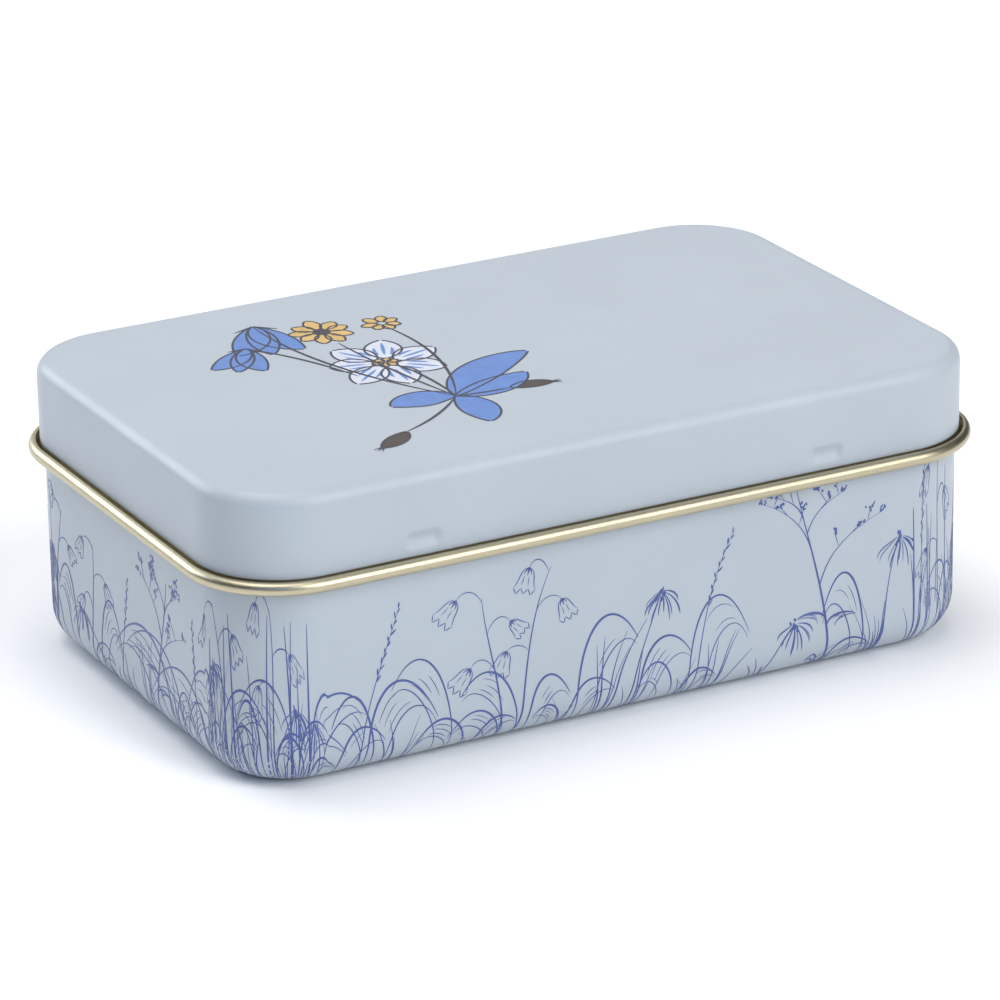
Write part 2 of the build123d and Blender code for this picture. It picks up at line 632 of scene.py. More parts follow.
@dataclass
class DrawnBody:
    """The one-piece body: raised base panel, wall, neck and inward rim curl."""

    shape: TinShape
    hinge: Hinge
    inset: float = 0.6 * MM
    base_bend: float = 5.5 * MM
    panel_land: float = 3.4 * MM
    panel_rise: float = 0.4 * MM
    panel_slope: float = 1.4 * MM
    panel_steps: int = 8
    neck_start: float = 27.3 * MM
    neck_bend: float = 0.75 * MM
    neck_turn: float = 60.0
    rim_top: float = 36.2 * MM
    rim_curl: float = 0.6 * MM
    rim_sweep: float = 285.0
    corner_steps: int = 28

    def section(self, lift: float) -> BendLine:
        """The wall's section from the start of the base bend to the curl's tip.

        Args:
            lift: Distance of the line outwards from the middle of the sheet.

        Returns:
            The path of radius and height.
        """
        half = self.shape.sheet / 2
        wall = self.shape.corner_radius - self.inset - half + lift
        base = self.base_bend - half + lift
        inner = self.neck_bend - lift
        outer = self.neck_bend + lift
        neck_top = self.neck_start + (inner + outer) * math.sin(math.radians(self.neck_turn))
        curl = self.rim_curl - half + lift
        return BendLine(
            Vector((wall - base, half - lift)),
            0.0,
            [
                Bend(base, 90.0),
                Straight(self.neck_start - self.base_bend),
                Bend(outer, self.neck_turn),
                Bend(inner, -self.neck_turn),
                Straight(self.rim_top - self.rim_curl - neck_top),
                Bend(curl, self.rim_sweep),
            ],
        )

    def base_rows(self) -> list[Vector]:
        """Rows of the base, from the bend inwards: the land, the slope and the panel."""
        half = self.shape.sheet / 2
        edge = self.section(0.0).at(0.0).x
        # A row close beside each bend keeps the flats flat.
        rows = [Vector((edge - 0.3 * MM, half)), Vector((edge - self.panel_land + 0.2 * MM, half))]
        for i in range(self.panel_steps + 1):
            part = i / self.panel_steps
            radius = edge - self.panel_land - self.panel_slope * part
            rise = self.panel_rise * (1 - math.cos(math.pi * part)) / 2
            rows.append(Vector((radius, half + rise)))
        rows.append(Vector((radius - 0.4 * MM, half + self.panel_rise)))
        return rows

    def tongue(self) -> BendLine:
        """The path of one hinge tongue, as distance across the tin and height."""
        start_y = self.shape.centre.y + self.section(0.0).at(self.base_bend * 2).x
        under = self.shape.hinge.y - self.hinge.knuckle_radius
        run = self.shape.hinge.x - start_y - self.hinge.tongue_bend
        return BendLine(
            Vector((start_y, under - self.hinge.tongue_bend)),
            90.0,
            [
                Bend(self.hinge.tongue_bend, -90.0),
                Straight(run),
                Bend(self.hinge.knuckle_radius, self.hinge.wrap),
            ],
        )

    def build(self, outside: bpy.types.Material, inside: bpy.types.Material) -> bpy.types.Object:
        """Builds the body and its tongues.

        Args:
            outside: Finish of the outer face.
            inside: Finish of the inner face.

        Returns:
            The piece.
        """
        tongue = self.tongue()
        root_z = tongue.at(0.0).y
        window_top = root_z + tongue.length
        slits = self.hinge.edges(0.0) + self.hinge.edges(self.hinge.lance_gap)
        sheet = SheetBuilder(self.shape, self.corner_steps, slits)
        section = self.section(0.0)
        sheet.start_at(section.at(0.0))
        foot = sheet.edge
        sheet.follow(section.stops(4.0 * MM, 9.0)[1:])
        sheet.edge = foot
        sheet.follow(self.base_rows())
        sheet.close(sheet.edge)
        for height in (root_z, window_top):
            sheet.slice(height, lambda p: p.y > self.shape.centre.y)
        wall_y = self.shape.centre.y + section.at(self.base_bend * 2).x - 2.0 * MM
        sheet.cut_away(
            lambda p: p.y > wall_y
            and root_z < p.z < window_top
            and self.hinge.beside(p.x, self.hinge.lance_gap)
        )
        self.bend_tongues(sheet, tongue)
        sheet.face_out(up=False)
        return sheet.thicken("drawn_body", [outside, inside])

    def bend_tongues(self, sheet: SheetBuilder, tongue: BendLine) -> None:
        """Bends the two tongues out of the wall and round the wire.

        Args:
            sheet: The body's skin, with its windows cut.
            tongue: The path that each tongue follows.
        """
        root = tongue.at(0.0)
        edges = [
            e
            for e in sheet.bm.edges
            if all((v.co.yz - root).length < 0.01 * MM for v in e.verts)
            and self.hinge.beside(sum(v.co.x for v in e.verts) / 2, 0.0)
        ]
        for point in tongue.stops(1.0 * MM, 12.0)[1:]:
            edges = grow_row(sheet.bm, edges)
            for vert in {v for e in edges for v in e.verts}:
                vert.co.yz = point


@dataclass
class DrawnLid:
    """The one-piece lid: flat panel, skirt, outward curl and two snap dimples.

    The gold lacquer covers the curl, as the bead's own gold, and runs on a thin strip of skirt above it as
    painted shade for the dark slot over the bead.
    """

    shape: TinShape
    hinge: Hinge
    edge_bend: float = 2.0 * MM
    curl: float = 0.9 * MM
    curl_sweep: float = 275.0
    dimple_x: float = 29.2 * MM
    dimple_z: float = 31.1 * MM
    dimple_width: float = 6.0 * MM
    dimple_height: float = 3.0 * MM
    dimple_depth: float = 0.5 * MM
    # Height above the curl's middle that the gold lacquer reaches: the curl is the bead's own gold, the thin
    # strip above it is painted shade for the dark slot.
    lacquer_and_shade_margin: float = 0.98 * MM
    dimple_margin: float = 0.4 * MM
    dimple_steps: int = 8
    corner_steps: int = 28

    def section(self) -> BendLine:
        """The lid's section at mid sheet, from the panel's edge to the curl's tip."""
        half = self.shape.sheet / 2
        wall = self.shape.corner_radius - half
        bend = self.edge_bend - half
        skirt = self.shape.height - self.edge_bend - self.shape.hinge.y
        return BendLine(
            Vector((wall - bend, self.shape.height - half)),
            0.0,
            [
                Bend(bend, -90.0),
                Straight(skirt),
                Bend(self.curl - half, self.curl_sweep),
            ],
        )

    def dimple_stations(self) -> list[float]:
        """Columns along the front that the dimples need."""
        reach = self.dimple_width / 2 + self.dimple_margin
        offsets = [reach * (2 * i / self.dimple_steps - 1) for i in range(self.dimple_steps + 1)]
        return [side * self.dimple_x + offset for side in (-1, 1) for offset in offsets]

    def build(self, outside: bpy.types.Material, inside: bpy.types.Material) -> bpy.types.Object:
        """Builds the lid.

        Args:
            outside: Finish of the outer face.
            inside: Finish of the inner face.

        Returns:
            The piece.
        """
        stations = self.hinge.edges(self.hinge.notch_gap) + self.dimple_stations()
        sheet = SheetBuilder(self.shape, self.corner_steps, stations)
        section = self.section()
        sheet.start_at(section.at(0.0))
        top = sheet.edge
        sheet.follow(section.stops(1.0 * MM, 9.0)[1:])
        sheet.edge = top
        # Two rows beside the bend keep the panel flat.
        start = section.at(0.0)
        sheet.follow([start - Vector((0.4 * MM, 0.0)), start - Vector((1.2 * MM, 0.0))])
        sheet.close(sheet.edge)
        notch_top = self.shape.hinge.y + self.hinge.notch_rise
        sheet.slice(notch_top, lambda p: p.y > self.shape.centre.y)
        sheet.cut_away(
            lambda p: p.y > self.shape.centre.y
            and p.z < notch_top
            and self.hinge.beside(p.x, self.hinge.notch_gap)
        )
        # Faces below this height get the gold lacquer: the bead's own gold on the curl, painted shade on the
        # thin strip of skirt above it.
        lacquer_and_shade_top = self.shape.hinge.y + self.lacquer_and_shade_margin
        sheet.slice(lacquer_and_shade_top, lambda p: True)
        for face in sheet.bm.faces:
            if face.calc_center_median().z < lacquer_and_shade_top:
                face.material_index = 1
        self.press_dimples(sheet)
        sheet.face_out(up=True)
        return sheet.thicken("drawn_lid", [outside, inside])

    def press_dimples(self, sheet: SheetBuilder) -> None:
        """Presses the two snap dimples into the front skirt.

        Args:
            sheet: The lid's skin.
        """
        half_z = self.dimple_height / 2
        half_x = self.dimple_width / 2
        front_y = -self.shape.half_width + self.shape.sheet / 2
        for x in (-self.dimple_x, self.dimple_x):
            near = [
                f
                for f in sheet.bm.faces
                if abs(f.calc_center_median().y - front_y) < 0.02 * MM
                and abs(f.calc_center_median().x - x) < half_x + self.dimple_margin
                and abs(f.calc_center_median().z - self.dimple_z) < half_z + 1.0 * MM
            ]
            edges = list(dict.fromkeys(e for f in near for e in f.edges))
            grown = bmesh.ops.subdivide_edges(sheet.bm, edges=edges, cuts=3, use_grid_fill=True)
            verts = {v for v in grown["geom"] if isinstance(v, bmesh.types.BMVert)}
            verts |= {v for f in near if f.is_valid for v in f.verts}
            for vert in verts:
                vert.co.y += self.dimple_depth * self.press(vert.co.x - x, vert.co.z - self.dimple_z)

    def press(self, along: float, up: float) -> float:
        """Share of a dimple's depth at a point of it.

        Args:
            along: Distance from its middle along the tin.
            up: Distance from its middle upwards.

        Returns:
            From 0 outside it to 1 in its middle.
        """
        flat = (self.dimple_width - self.dimple_height) / 2
        away = math.hypot(max(abs(along) - flat, 0.0), up) / (self.dimple_height / 2)
        return (1 + math.cos(math.pi * min(away, 1.0))) / 2


# ---------------------------------------------------------------- drawing in ink


class Taper(Enum):
    """How a pen stroke's width runs."""

    BOTH = "thin at both ends"
    TIP = "thin at its end"
    NONE = "the same all along"

    def share(self, part: float) -> float:
        """Share of the full width at a place on the stroke.

        Args:
            part: From 0 at its start to 1 at its end.

        Returns:
            The share.
        """
        if self is Taper.BOTH:
            return 0.2 + 0.8 * math.sin(math.pi * part) ** 0.7
        if self is Taper.TIP:
            return 1.0 - 0.8 * part**1.5
        return 1.0


@dataclass(frozen=True)
class Stroke:
    """One stroke of a flat drawing.

    Args:
        path: Points along it.
        width: Its greatest width.
        taper: How the width runs.
    """

    path: tuple
    width: float
    taper: Taper = Taper.BOTH

    def sides(self, part: float, index: int) -> tuple[Vector, Vector]:
        """Both sides of the stroke at one of its points.

        Args:
            part: How far along it the point is, from 0 to 1.
            index: Which point.

        Returns:
            The left and the right side.
        """
        last = len(self.path) - 1
        along = (self.path[min(index + 1, last)] - self.path[max(index - 1, 0)]).normalized()
        out = Vector((-along.y, along.x)) * self.width * self.taper.share(part) / 2
        return self.path[index] + out, self.path[index] - out


@dataclass(frozen=True)
class Fill:
    """A filled shape between two edges of the same number of points."""

    left: tuple
    right: tuple

    @property
    def path(self) -> tuple:
        """Points that set how many steps the shape has."""
        return self.left

    def sides(self, part: float, index: int) -> tuple[Vector, Vector]:
        """Both edges at one point.

        Args:
            part: How far along it is; not used.
            index: Which point.

        Returns:
            The left and the right edge.
        """
        return self.left[index], self.right[index]


def curve(start: Vector, leave: Vector, arrive: Vector, end: Vector, step: float = 0.8 * MM) -> tuple:
    """Points along a smooth curve.

    Args:
        start: First point.
        leave: Handle that it leaves the start towards.
        arrive: Handle that it reaches the end from.
        end: Last point.
        step: Rough distance between points.

    Returns:
        The points.
    """
    rough = (leave - start).length + (arrive - leave).length + (end - arrive).length
    count = min(max(math.ceil(rough / step), 3), 40)
    return tuple(interpolate_bezier(start, leave, arrive, end, count + 1))


def straight(start: Vector, end: Vector, leave: float = 0.3, arrive: float = 0.7) -> tuple:
    """Points along a short straight line.

    Args:
        start: First point.
        end: Last point.
        leave: Share of the way at which the first handle lies.
        arrive: Share of the way at which the last handle lies.

    Returns:
        The points.
    """
    return curve(start, start.lerp(end, leave), start.lerp(end, arrive), end)


def turned(length: float, degrees: float) -> Vector:
    """A flat vector from its length and its direction.

    Args:
        length: The length.
        degrees: The direction, counted from right to up.

    Returns:
        The vector.
    """
    return Vector((math.cos(math.radians(degrees)), math.sin(math.radians(degrees)))) * length


@dataclass
class InkLayer:
    """Strokes of one ink, laid on a surface of the tin as thin solid ribbons.

    Args:
        name: The piece's name.
        place: Turns a point of the drawing and a lift into a place on the tin.
        lift: Height of the ribbons' undersides above the enamel.
        thickness: Thickness of the ink.
        jitter: Spread of the lifts, so that crossing strokes never coincide.
        batch: Number of strokes that are built together, which keeps the building quick.
    """

    name: str
    place: Callable[[float, float, float], Vector]
    lift: float = 0.004 * MM
    thickness: float = 0.016 * MM
    jitter: float = 0.010 * MM
    batch: int = 40
    strokes: list[Stroke | Fill] = field(default_factory=list)

    def draw(self, path: tuple, width: float, taper: Taper = Taper.BOTH) -> None:
        """Adds one stroke.

        Args:
            path: Points along it.
            width: Its greatest width.
            taper: How the width runs.
        """
        self.strokes.append(Stroke(path, width, taper))

    def build(self, ink: bpy.types.Material) -> bpy.types.Object:
        """Makes the piece.

        Args:
            ink: Its material.

        Returns:
            The piece.
        """
        bm = bmesh.new()
        dice = random.Random(self.name)
        for first in range(0, len(self.strokes), self.batch):
            batch = bmesh.new()
            for stroke in self.strokes[first : first + self.batch]:
                self.lay(batch, stroke, self.lift + self.jitter * dice.random())
            mesh = bpy.data.meshes.new("batch")
            batch.to_mesh(mesh)
            batch.free()
            bm.from_mesh(mesh)
            bpy.data.meshes.remove(mesh)
        piece = mesh_object(self.name, bm, [ink])
        solid = piece.modifiers.new("ink", "SOLIDIFY")
        solid.thickness = self.thickness
        solid.offset = 1.0
        settle(piece)
        return piece

    def lay(self, bm: bmesh.types.BMesh, stroke: Stroke | Fill, lift: float) -> None:
        """Lays one ribbon.

        Args:
            bm: The mesh that it goes into.
            stroke: The stroke or the filled shape.
            lift: Height of its underside.
        """
        steps = len(stroke.path) - 1
        grown = bmesh.ops.create_grid(bm, x_segments=steps, y_segments=1, size=1.0)
        for vert in grown["verts"]:
            part = (vert.co.x + 1) / 2
            left, right = stroke.sides(part, round(part * steps))
            point = left if vert.co.y > 0 else right
            vert.co = self.place(point.x, point.y, lift)


@dataclass
class WallWrap:
    """Wraps a flat drawing round the body's wall.

    The sheet was printed flat and then drawn, so at the upright corners the drawing
    is squeezed sideways and pulled upwards.

    Args:
        shape: The tin's shared sizes.
        body: The body that carries the drawing.
        squeeze: Length of a corner in the flat drawing, over its length on the tin.
        pull: Share by which the drawing grows taller in the middle of a corner.
        foot: Distance of the drawing's foot from the start of the base bend.
    """

    shape: TinShape
    body: DrawnBody
    squeeze: float = 1.7
    pull: float = 0.28
    foot: float = 2.0 * MM

    def __post_init__(self) -> None:
        """Works out the outline and the wall's outer face."""
        self.radius = self.shape.corner_radius - self.body.inset
        reach = self.shape.centre
        self.corner = self.radius * math.pi / 2
        sides = [Straight(2 * reach.x), Straight(2 * reach.y)] * 2
        runs: list[Straight | Bend] = []
        for side in sides:
            runs += [side, Bend(self.radius, 90.0)]
        self.outline = BendLine(Vector((-reach.x, -reach.y - self.radius)), 0.0, runs)
        self.section = self.body.section(self.shape.sheet / 2)
        self.drawn_length = sum(self.drawn(run) for run in runs)

    def drawn(self, run: Straight | Bend) -> float:
        """Length of one side or corner in the flat drawing.

        Args:
            run: The side or corner.

        Returns:
            Its length before drawing squeezed it.
        """
        return run.length * (self.squeeze if isinstance(run, Bend) else 1.0)

    def along(self, across: float) -> tuple[float, float]:
        """Turns a place along the drawing into one round the tin.

        Args:
            across: Distance along the drawing from the middle of the front.

        Returns:
            Distance round the tin, and how deep in a corner it is, from 0 to 1.
        """
        left = (across + self.shape.centre.x) % self.drawn_length
        for start, _, _, run in self.outline.legs:
            if left <= self.drawn(run):
                part = left / self.drawn(run)
                depth = math.sin(math.pi * part) ** 0.5 if isinstance(run, Bend) else 0.0
                return start + run.length * part, depth
            left -= self.drawn(run)
        return self.outline.length, 0.0

    def place(self, across: float, up: float, lift: float) -> Vector:
        """Places a point of the drawing on the tin.

        Args:
            across: Distance along the drawing from the middle of the front.
            up: Distance up the drawing from its foot, which is low on the base bend.
            lift: Height above the enamel.

        Returns:
            The point.
        """
        gone, depth = self.along(across)
        point = self.section.at(self.foot + up * (1 + self.pull * depth), lift)
        flat = self.outline.at(gone, point.x - self.radius)
        return Vector((flat.x, flat.y, point.y))


class Plant(Enum):
    """The kinds of plant in the meadow."""

    ARCH = "one arching leaf"
    TUFT = "a tuft of upright blades"
    SHEAF = "a sheaf of arching leaves"
    BELLS = "a stem of nodding bells"
    UMBEL = "a branching seed head"
    SEEDS = "a stalk of grass seed"
    BLOOM = "a low shaggy flower"


@dataclass(frozen=True)
class Planting:
    """One plant of the meadow.

    Args:
        kind: What it is.
        at: Place along the wall, from the middle of the front.
        height: Its height.
        lean: How far its top is to the right of its foot.
    """

    kind: Plant
    at: float
    height: float
    lean: float


@dataclass
class Meadow:
    """A line drawing of meadow plants that runs all the way round the body."""

    wrap: WallWrap
    seed: int = 20
    bold: float = 0.30 * MM
    fine: float = 0.15 * MM
    hair: float = 0.11 * MM

    def __post_init__(self) -> None:
        """Makes the empty layer and the seeded dice."""
        self.ink = InkLayer("meadow_print", self.wrap.place)
        self.dice = random.Random(self.seed)
        self.growers: dict[Plant, Callable[[Vector, float, float], None]] = {
            Plant.ARCH: lambda foot, height, lean: self.arch(foot, lean, height),
            Plant.TUFT: self.tuft,
            Plant.SHEAF: self.sheaf,
            Plant.BELLS: self.bells,
            Plant.UMBEL: self.umbel,
            Plant.SEEDS: self.seed_stalk,
            Plant.BLOOM: self.bloom,
        }

    def near(self, value: float, spread: float) -> float:
        """A value with a little chance in it.

        Args:
            value: The middle of its range.
            spread: Share that it may differ by.

        Returns:
            The value.
        """
        return value * self.dice.uniform(1 - spread, 1 + spread)

    def arch(self, foot: Vector, reach: float, height: float, broad: float = 0.3) -> None:
        """Draws one arching leaf: a bold upper edge, a fine lower one and some shading.

        Args:
            foot: Where it grows from.
            reach: How far sideways its tip is, negative to the left.
            height: Height of its crest.
            broad: Its breadth as a share of its reach, or 0 for a single bold line.
        """
        tip = foot + Vector((reach, height * self.dice.uniform(0.45, 0.85)))
        upper = curve(
            foot,
            foot + Vector((-reach * 0.05, height * 0.95)),
            foot + Vector((reach * 0.55, height * 1.35)),
            tip,
        )
        self.ink.draw(upper, self.near(self.bold, 0.2))
        if broad == 0.0:
            return
        start = foot + Vector((broad * reach, -0.04 * height))
        lower = curve(
            start,
            start + Vector((-reach * 0.12, height * 0.55)),
            foot + Vector((reach * 0.75, height * (1.25 - broad))),
            tip - Vector((reach * 0.02, height * 0.06)),
        )
        self.ink.draw(lower, self.near(self.fine, 0.25))
        for depth in (0.3, 0.55, 0.8):
            if self.dice.random() < 0.25:
                continue
            first = self.dice.uniform(0.25, 0.5)
            last = first + self.dice.uniform(0.2, 0.4)
            part = [
                self.between(upper, lower, first + (last - first) * i / 5, depth) for i in range(6)
            ]
            self.ink.draw(tuple(part), self.near(self.hair, 0.2))

    @staticmethod
    def between(first: tuple, second: tuple, along: float, depth: float) -> Vector:
        """A point between two curves.

        Args:
            first: One curve's points.
            second: The other's.
            along: How far along both, from 0 to 1.
            depth: How far from the first to the second, from 0 to 1.

        Returns:
            The point.
        """
        one = first[round(along * (len(first) - 1))]
        other = second[round(along * (len(second) - 1))]
        return one.lerp(other, depth)

    def blade(self, foot: Vector, lean: float, height: float, width: float) -> None:
        """Draws one upright blade as a single stroke.

        Args:
            foot: Where it grows from.
            lean: How far its tip is to the right.
            height: Its height.
            width: Width of the stroke.
        """
        tip = foot + Vector((lean, height))
        leave = foot + Vector((lean * 0.05, height * 0.5))
        arrive = tip - Vector((lean * 0.5, height * 0.25))
        self.ink.draw(curve(foot, leave, arrive, tip), width, Taper.TIP)

    def tuft(self, foot: Vector, height: float, lean: float) -> None:
        """Draws a tuft of upright blades.

        Args:
            foot: Its middle.
            height: Height of its tallest blade.
            lean: How far the whole tuft leans.
        """
        for _ in range(self.dice.randint(4, 6)):
            side = self.dice.uniform(-1, 1)
            tall = height * self.dice.uniform(0.5, 1.0)
            start = foot + Vector((side * 1.6 * MM, 0.0))
            self.blade(start, lean + side * tall * 0.3, tall, self.near(self.fine * 1.3, 0.4))

    def sheaf(self, foot: Vector, height: float, lean: float) -> None:
        """Draws a sheaf of arching leaves that fall to both sides.

        Args:
            foot: Its middle.
            height: Height of its crest.
            lean: How far the sheaf leans.
        """
        side = self.dice.choice((-1, 1))
        for turn in range(2):
            tall = height * (1.0 - 0.3 * turn) * self.dice.uniform(0.85, 1.0)
            start = foot + Vector((side * self.dice.uniform(0.3, 1.0) * MM, 0.0))
            reach = lean + side * tall * self.dice.uniform(0.7, 1.2)
            self.arch(start, reach, tall, self.dice.uniform(0.25, 0.4))
            side = -side
        for _ in range(3):
            start = foot + Vector((self.dice.uniform(-1.5, 1.5) * MM, 0.0))
            tilt = lean + self.dice.uniform(-0.35, 0.35) * height
            self.blade(start, tilt, height * self.dice.uniform(0.4, 0.9), self.near(self.fine, 0.4))

    def bell(self, top: Vector, aim: float, size: float) -> None:
        """Draws one nodding bell.

        Args:
            top: Where it hangs from.
            aim: The direction that its mouth faces, in degrees.
            size: Its length.
        """
        axis = turned(size, aim)
        side = turned(size, aim + 90)
        for spread in (-45, 0, 45):
            leave = top + turned(size * 0.1, aim + spread)
            arrive = top + turned(size * 0.2, aim + spread)
            tip = top + turned(size * 0.34, aim + spread * 0.7)
            self.ink.draw(curve(top, leave, arrive, tip), self.near(self.bold, 0.2), Taper.TIP)
        rim = []
        for hand in (-1, 1):
            lip = top + axis * 0.9 + side * hand * 0.52
            leave = top + side * hand * 0.42 + axis * 0.05
            arrive = top + side * hand * 0.28 + axis * 0.65
            self.ink.draw(curve(top, leave, arrive, lip), self.fine)
            rim.append(lip)
        teeth = 3
        for i in range(teeth):
            left = rim[0].lerp(rim[1], i / teeth)
            right = rim[0].lerp(rim[1], (i + 1) / teeth)
            point = (left + right) / 2 + axis * self.near(0.30, 0.2)
            self.ink.draw(straight(left, point, leave=0.4), self.fine)
            self.ink.draw(straight(point, right, arrive=0.6), self.fine)
        for offset in (-0.14, 0.1):
            start = top + axis * 0.35 + side * offset
            end = start + axis * 0.42 + side * offset * 0.4
            self.ink.draw(curve(start, start + axis * 0.15, start + axis * 0.3, end), self.hair)

    def stem(self, foot: Vector, height: float, lean: float, width: float) -> tuple:
        """Draws a main stem.

        Args:
            foot: Where it grows from.
            height: Its height.
            lean: How far its top is to the right.
            width: Its width at the foot.

        Returns:
            Points along it.
        """
        sway = self.dice.uniform(-0.06, 0.06) * height
        tip = foot + Vector((lean, height))
        path = curve(
            foot,
            foot + Vector((sway, height * 0.35)),
            foot + Vector((lean * 0.5 - sway, height * 0.7)),
            tip,
        )
        self.ink.draw(path, width, Taper.TIP)
        return path

    def bells(self, foot: Vector, height: float, lean: float) -> None:
        """Draws a stem of nodding bells with a pair of leaves at its foot.

        Args:
            foot: Where it grows from.
            height: Its height.
            lean: How far its top is to the right.
        """
        path = self.stem(foot, height, lean, self.bold)
        count = 3
        for i in range(count):
            start = path[int(len(path) * (0.5 + 0.46 * i / (count - 1)))]
            hand = 1 if i % 2 else -1
            reach = self.near(3.4 * MM, 0.25) * hand
            rise = self.near(1.6 * MM, 0.3)
            end = start + Vector((reach, rise * 0.55))
            leave = start + Vector((reach * 0.2, rise))
            arrive = end + Vector((-reach * 0.3, rise * 0.8))
            self.ink.draw(curve(start, leave, arrive, end), self.near(self.fine, 0.2))
            self.bell(end, -90 + hand * self.dice.uniform(15, 45), self.near(2.9 * MM, 0.15))
        hand = self.dice.choice((-1, 1))
        self.arch(foot, hand * height * 0.35, height * self.dice.uniform(0.3, 0.45), 0.25)

    def umbel(self, foot: Vector, height: float, lean: float) -> None:
        """Draws a branching stem with clusters of seeds.

        Args:
            foot: Where it grows from.
            height: Its height.
            lean: How far its top is to the right.
        """
        path = self.stem(foot, height, lean, self.bold * 1.25)
        for part, hand, size in ((0.45, 1, 0.42), (0.6, -1, 0.36), (0.72, 1, 0.26), (0.8, -1, 0.22)):
            start = path[int(len(path) * part)]
            out = Vector((hand * height * size * 0.8, height * size * self.dice.uniform(0.6, 1.0)))
            mid = start + Vector((out.x * 0.25, out.y * 0.7))
            branch = curve(start, start + Vector((out.x * 0.1, out.y * 0.35)), mid, start + out)
            self.ink.draw(branch, self.near(self.fine * 1.3, 0.2), Taper.TIP)
            for j in range(3):
                fork = branch[int(len(branch) * (0.55 + 0.15 * j))]
                end = fork + turned(self.near(2.2 * MM, 0.3), 90 - hand * self.dice.uniform(-50, 60))
                self.ink.draw(straight(fork, end), self.hair)
                self.seeds(end, 0.75 * MM)
            self.seeds(branch[-1], 0.9 * MM)
        for hand in (-1, 1):
            start = path[int(len(path) * self.dice.uniform(0.2, 0.35))]
            self.arch(start, hand * height * 0.16, height * 0.06)

    def seeds(self, middle: Vector, spread: float) -> None:
        """Draws a cluster of small seeds.

        Args:
            middle: Its middle.
            spread: How far the seeds spread.
        """
        for _ in range(self.dice.randint(5, 7)):
            start = middle + turned(spread * self.dice.random(), self.dice.uniform(0, 360))
            end = start + turned(self.near(0.55 * MM, 0.3), self.dice.uniform(40, 140))
            self.ink.draw(straight(start, end, arrive=0.6), self.near(self.bold, 0.3))

    def seed_stalk(self, foot: Vector, height: float, lean: float) -> None:
        """Draws a thin stalk of grass seed.

        Args:
            foot: Where it grows from.
            height: Its height.
            lean: How far its top is to the right.
        """
        path = self.stem(foot, height, lean, self.fine * 1.2)
        first = int(len(path) * 0.55)
        for i in range(first, len(path) - 1):
            along = path[i + 1] - path[i]
            hand = 1 if i % 2 else -1
            angle = math.degrees(math.atan2(along.y, along.x)) + hand * self.dice.uniform(12, 30)
            end = path[i] + turned(self.near(0.95 * MM, 0.25), angle)
            self.ink.draw(straight(path[i], end), self.near(self.fine * 1.5, 0.3))

    def bloom(self, foot: Vector, height: float, lean: float) -> None:
        """Draws a low shaggy flower that hangs over to one side.

        Args:
            foot: Where it grows from.
            height: Its height.
            lean: How far its head is to the right.
        """
        path = self.stem(foot, height, lean, self.fine * 1.5)
        head = path[-1]
        for i in range(11):
            aim = 200 + 14 * i + self.dice.uniform(-8, 8)
            length = self.near(3.0 * MM, 0.25)
            start = head + turned(0.5 * MM, aim)
            end = head + turned(length, aim) - Vector((0.0, 0.4 * length))
            leave = start + turned(length * 0.45, aim + 15)
            arrive = end + Vector((0.0, length * 0.35))
            self.ink.draw(curve(start, leave, arrive, end), self.near(self.fine * 1.3, 0.4))
        for _ in range(9):
            start = head + turned(0.9 * MM * self.dice.random(), self.dice.uniform(0, 360))
            end = start + turned(self.near(0.8 * MM, 0.3), self.dice.uniform(230, 310))
            self.ink.draw(straight(start, end), self.near(self.bold, 0.2))
        self.tuft(foot, height * 0.6, 0.0)

    def plant(self, one: Planting) -> None:
        """Draws one plant.

        Args:
            one: The plant.
        """
        foot = Vector((one.at, self.dice.uniform(0.0, 1.2) * MM))
        self.growers[one.kind](foot, one.height, one.lean)

    def front(self) -> list[Planting]:
        """The plants along the front, from left to right, in millimetres."""
        rows = [
            (Plant.SHEAF, -50.0, 13.0, 1.0),
            (Plant.ARCH, -47.0, 12.0, 9.5),
            (Plant.BLOOM, -49.0, 7.5, 3.0),
            (Plant.BLOOM, -52.5, 9.5, 2.5),
            (Plant.SHEAF, -47.5, 6.5, 0.5),
            (Plant.ARCH, -41.5, 8.0, 6.5),
            (Plant.SEEDS, -38.5, 24.0, 6.0),
            (Plant.ARCH, -36.5, 12.0, -6.0),
            (Plant.ARCH, -37.5, 13.0, 10.0),
            (Plant.TUFT, -33.0, 9.0, 0.5),
            (Plant.ARCH, -25.5, 14.0, -8.5),
            (Plant.SHEAF, -22.5, 7.0, 0.5),
            (Plant.BELLS, -18.5, 21.5, -2.5),
            (Plant.BELLS, -16.0, 23.5, 5.0),
            (Plant.ARCH, -14.5, 9.0, 6.0),
            (Plant.SHEAF, -9.0, 7.5, 1.0),
            (Plant.ARCH, -7.5, 14.5, 9.0),
            (Plant.TUFT, -3.5, 14.0, 2.0),
            (Plant.BLOOM, 0.5, 17.5, 4.5),
            (Plant.ARCH, 1.5, 10.5, 8.0),
            (Plant.SHEAF, 7.5, 8.0, 0.5),
            (Plant.SEEDS, 9.5, 24.0, 6.5),
            (Plant.ARCH, 9.0, 15.0, 9.0),
            (Plant.TUFT, 13.0, 10.5, 2.0),
            (Plant.BLOOM, 20.5, 8.5, 4.5),
            (Plant.UMBEL, 30.0, 28.0, -5.0),
            (Plant.SHEAF, 29.5, 5.0, 2.0),
            (Plant.ARCH, 35.5, 14.0, -6.5),
            (Plant.TUFT, 37.0, 10.0, -1.0),
            (Plant.BLOOM, 38.0, 18.0, 3.0),
            (Plant.TUFT, 44.0, 15.0, 0.5),
            (Plant.SEEDS, 45.0, 23.0, 1.0),
        ]
        return [Planting(kind, at * MM, height * MM, lean * MM) for kind, at, height, lean in rows]

